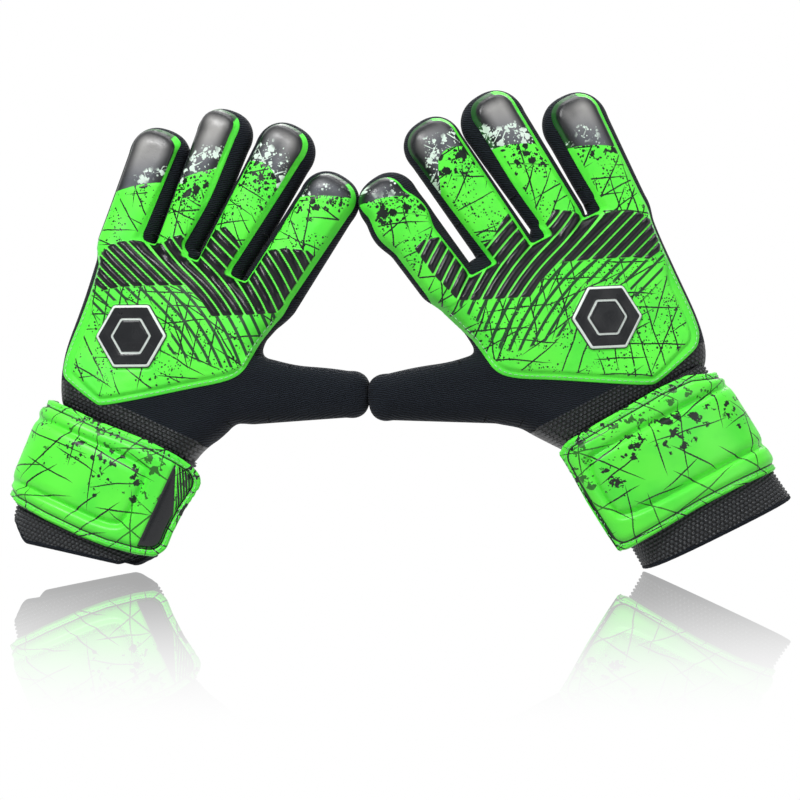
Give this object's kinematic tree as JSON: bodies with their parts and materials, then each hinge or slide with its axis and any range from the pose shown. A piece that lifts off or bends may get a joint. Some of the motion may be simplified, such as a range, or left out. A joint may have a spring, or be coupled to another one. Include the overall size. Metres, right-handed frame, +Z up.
{
  "type": "goalkeeper gloves",
  "caption": "Left and right padded goalkeeper gloves with jointed finger stalls, knitted wrist bandage and wrap-over closing strap.",
  "frame": {"origin": "centre of the bottom of the pair's overall box: on the floor, midway between the two gloves, under the lowest points of the cuffs", "axes": "+Z up, gloves standing on their cuffs with fingers up and leaning towards each other; -Y is the side that the backs of the hands face; +X runs from the left-hand glove to the right-hand glove"},
  "size_m": [0.467, 0.0706, 0.2799],
  "materials": {
    "green_foam": "soft embossed PU foam with fine satin skin",
    "black_pad": "smooth satin black PU pads and raised bars",
    "latex_palm": "matt charcoal latex foam, finely textured",
    "knit": "fine ribbed elastic knit",
    "waffle_knit": "coarse waffle elastic bandage",
    "lining": "plain soft lining",
    "hook_loop": "hook and loop pile"
  },
  "bodies": {
    "left_hand": {"left_backhand_panel": "green_foam", "left_knuckle_ribs": "black_pad", "left_emblem": "black_pad", "left_palm_latex": "latex_palm", "left_hand_knit_body": "knit", "left_hand_lining": "lining"},
    "left_cuff": {"left_wrist_bandage": "waffle_knit", "left_cuff_hem": "knit", "left_loop_patch": "hook_loop"},
    "left_strap": {"left_strap_panel": "green_foam", "left_strap_end_panel": "black_pad", "left_hook_patch": "hook_loop"},
    "left_little_base": {"left_little_base_back": "green_foam", "left_little_base_stall": "latex_palm"},
    "left_little_tip": {"left_little_tip_back": "black_pad", "left_little_tip_stall": "latex_palm"},
    "left_ring_base": {"left_ring_base_back": "green_foam", "left_ring_base_stall": "latex_palm"},
    "left_ring_tip": {"left_ring_tip_back": "black_pad", "left_ring_tip_stall": "latex_palm"},
    "left_middle_base": {"left_middle_base_back": "green_foam", "left_middle_base_stall": "latex_palm"},
    "left_middle_tip": {"left_middle_tip_back": "black_pad", "left_middle_tip_stall": "latex_palm"},
    "left_index_base": {"left_index_base_back": "green_foam", "left_index_base_stall": "latex_palm"},
    "left_index_tip": {"left_index_tip_back": "black_pad", "left_index_tip_stall": "latex_palm"},
    "left_thumb_base": {"left_thumb_base_stall": "knit"},
    "left_thumb_tip": {"left_thumb_tip_stall": "knit"},
    "right_hand": {"right_backhand_panel": "green_foam", "right_knuckle_ribs": "black_pad", "right_emblem": "black_pad", "right_palm_latex": "latex_palm", "right_hand_knit_body": "knit", "right_hand_lining": "lining"},
    "right_cuff": {"right_wrist_bandage": "waffle_knit", "right_cuff_hem": "knit", "right_loop_patch": "hook_loop"},
    "right_strap": {"right_strap_panel": "green_foam", "right_strap_end_panel": "black_pad", "right_hook_patch": "hook_loop"},
    "right_little_base": {"right_little_base_back": "green_foam", "right_little_base_stall": "latex_palm"},
    "right_little_tip": {"right_little_tip_back": "black_pad", "right_little_tip_stall": "latex_palm"},
    "right_ring_base": {"right_ring_base_back": "green_foam", "right_ring_base_stall": "latex_palm"},
    "right_ring_tip": {"right_ring_tip_back": "black_pad", "right_ring_tip_stall": "latex_palm"},
    "right_middle_base": {"right_middle_base_back": "green_foam", "right_middle_base_stall": "latex_palm"},
    "right_middle_tip": {"right_middle_tip_back": "black_pad", "right_middle_tip_stall": "latex_palm"},
    "right_index_base": {"right_index_base_back": "green_foam", "right_index_base_stall": "latex_palm"},
    "right_index_tip": {"right_index_tip_back": "black_pad", "right_index_tip_stall": "latex_palm"},
    "right_thumb_base": {"right_thumb_base_stall": "knit"},
    "right_thumb_tip": {"right_thumb_tip_stall": "knit"}
  },
  "joints": [
    {"name": "left_wrist", "type": "hinge", "parent": "left_hand", "child": "left_cuff", "pos_m": [-0.15795, 0.00596, 0.08551], "axis": [-0.8936, 0.2079, 0.3978], "range_deg": [-20, 25]},
    {"name": "left_strap_opening", "type": "hinge", "parent": "left_cuff", "child": "left_strap", "pos_m": [-0.21677, 0.01671, 0.06825], "axis": [-0.3753, -0.0073, -0.9269], "range_deg": [0, 115]},
    {"name": "left_little_knuckle", "type": "hinge", "parent": "left_hand", "child": "left_little_base", "pos_m": [-0.15554, 0.01553, 0.20157], "axis": [-0.8936, 0.2079, 0.3978], "range_deg": [-10, 70]},
    {"name": "left_little_middle_joint", "type": "hinge", "parent": "left_little_base", "child": "left_little_tip", "pos_m": [-0.1467, 0.01612, 0.22828], "axis": [-0.8936, 0.2079, 0.3978], "range_deg": [0, 80]},
    {"name": "left_ring_knuckle", "type": "hinge", "parent": "left_hand", "child": "left_ring_base", "pos_m": [-0.12218, 0.00919, 0.20313], "axis": [-0.8936, 0.2079, 0.3978], "range_deg": [-10, 70]},
    {"name": "left_ring_middle_joint", "type": "hinge", "parent": "left_ring_base", "child": "left_ring_tip", "pos_m": [-0.11037, 0.00947, 0.2329], "axis": [-0.8936, 0.2079, 0.3978], "range_deg": [0, 80]},
    {"name": "left_middle_knuckle", "type": "hinge", "parent": "left_hand", "child": "left_middle_base", "pos_m": [-0.09676, 0.00323, 0.19126], "axis": [-0.8936, 0.2079, 0.3978], "range_deg": [-10, 70]},
    {"name": "left_middle_middle_joint", "type": "hinge", "parent": "left_middle_base", "child": "left_middle_tip", "pos_m": [-0.07997, 0.00254, 0.22101], "axis": [-0.8936, 0.2079, 0.3978], "range_deg": [0, 80]},
    {"name": "left_index_knuckle", "type": "hinge", "parent": "left_hand", "child": "left_index_base", "pos_m": [-0.07005, -0.00342, 0.17445], "axis": [-0.8936, 0.2079, 0.3978], "range_deg": [-10, 70]},
    {"name": "left_index_middle_joint", "type": "hinge", "parent": "left_index_base", "child": "left_index_tip", "pos_m": [-0.05258, -0.00455, 0.2006], "axis": [-0.8936, 0.2079, 0.3978], "range_deg": [0, 80]},
    {"name": "left_thumb_knuckle", "type": "hinge", "parent": "left_hand", "child": "left_thumb_base", "pos_m": [-0.08135, -0.00722, 0.1051], "axis": [0.0345, 0.0794, 0.9962], "range_deg": [-15, 40]},
    {"name": "left_thumb_middle_joint", "type": "hinge", "parent": "left_thumb_base", "child": "left_thumb_tip", "pos_m": [-0.05584, -0.01221, 0.10462], "axis": [0.0345, 0.0794, 0.9962], "range_deg": [0, 55]},
    {"name": "right_wrist", "type": "hinge", "parent": "right_hand", "child": "right_cuff", "pos_m": [0.14239, 0.00596, 0.10306], "axis": [-0.8715, -0.2079, -0.4441], "range_deg": [-20, 25]},
    {"name": "right_strap_opening", "type": "hinge", "parent": "right_cuff", "child": "right_strap", "pos_m": [0.20305, 0.01762, 0.0963], "axis": [-0.5282, -0.0181, 0.8489], "range_deg": [0, 115]},
    {"name": "right_little_knuckle", "type": "hinge", "parent": "right_hand", "child": "right_little_base", "pos_m": [0.13391, 0.01553, 0.21882], "axis": [-0.8715, -0.2079, -0.4441], "range_deg": [-10, 70]},
    {"name": "right_little_middle_joint", "type": "hinge", "parent": "right_little_base", "child": "right_little_tip", "pos_m": [0.12119, 0.01553, 0.24377], "axis": [-0.8715, -0.2079, -0.4441], "range_deg": [0, 80]},
    {"name": "right_ring_knuckle", "type": "hinge", "parent": "right_hand", "child": "right_ring_base", "pos_m": [0.09267, 0.00731, 0.21465], "axis": [-0.8715, -0.2079, -0.4441], "range_deg": [-10, 70]},
    {"name": "right_ring_middle_joint", "type": "hinge", "parent": "right_ring_base", "child": "right_ring_tip", "pos_m": [0.07464, 0.00648, 0.24138], "axis": [-0.8715, -0.2079, -0.4441], "range_deg": [0, 80]},
    {"name": "right_middle_knuckle", "type": "hinge", "parent": "right_hand", "child": "right_middle_base", "pos_m": [0.06505, 0.00067, 0.20002], "axis": [-0.8715, -0.2079, -0.4441], "range_deg": [-10, 70]},
    {"name": "right_middle_middle_joint", "type": "hinge", "parent": "right_middle_base", "child": "right_middle_tip", "pos_m": [0.04481, -0.00048, 0.22786], "axis": [-0.8715, -0.2079, -0.4441], "range_deg": [0, 80]},
    {"name": "right_index_knuckle", "type": "hinge", "parent": "right_hand", "child": "right_index_base", "pos_m": [0.03534, -0.0069, 0.17983], "axis": [-0.8715, -0.2079, -0.4441], "range_deg": [-10, 70]},
    {"name": "right_index_middle_joint", "type": "hinge", "parent": "right_index_base", "child": "right_index_tip", "pos_m": [0.01591, -0.00818, 0.20472], "axis": [-0.8715, -0.2079, -0.4441], "range_deg": [0, 80]},
    {"name": "right_thumb_knuckle", "type": "hinge", "parent": "right_hand", "child": "right_thumb_base", "pos_m": [0.05977, -0.00892, 0.11102], "axis": [0.1453, -0.0677, -0.9871], "range_deg": [-15, 40]},
    {"name": "right_thumb_middle_joint", "type": "hinge", "parent": "right_thumb_base", "child": "right_thumb_tip", "pos_m": [0.0345, -0.01403, 0.10766], "axis": [0.1453, -0.0677, -0.9871], "range_deg": [0, 55]},
    {"name": "pair_separation", "type": "slide", "parent": "left_hand", "child": "right_hand", "axis": [1, 0, 0], "range_m": [0, 0.25]}
  ]
}
